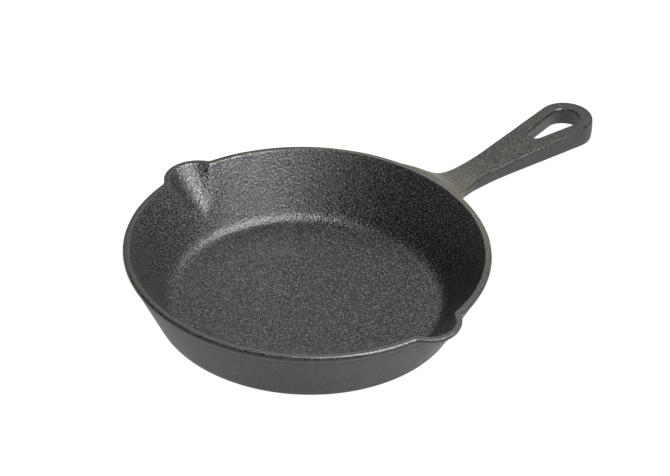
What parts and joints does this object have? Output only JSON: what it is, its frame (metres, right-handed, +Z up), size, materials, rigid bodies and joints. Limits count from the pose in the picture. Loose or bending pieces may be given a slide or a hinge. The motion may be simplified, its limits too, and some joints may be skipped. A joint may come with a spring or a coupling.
{
  "type": "cast iron skillet",
  "caption": "Round cast iron skillet with a flaring wall, a pour spout on each side and a flat handle with a teardrop hanging hole.",
  "frame": {"origin": "middle of the flat base, on the surface the skillet rests on", "axes": "+X along the handle, +Z up out of the bowl, +Y towards one pour spout"},
  "size_m": [0.3335, 0.2202, 0.039],
  "materials": {
    "seasoned_iron": "pebbled sand-cast surface, seasoned to a dark satin"
  },
  "bodies": {
    "root": {"pan": "seasoned_iron", "handle": "seasoned_iron"}
  },
  "joints": []
}
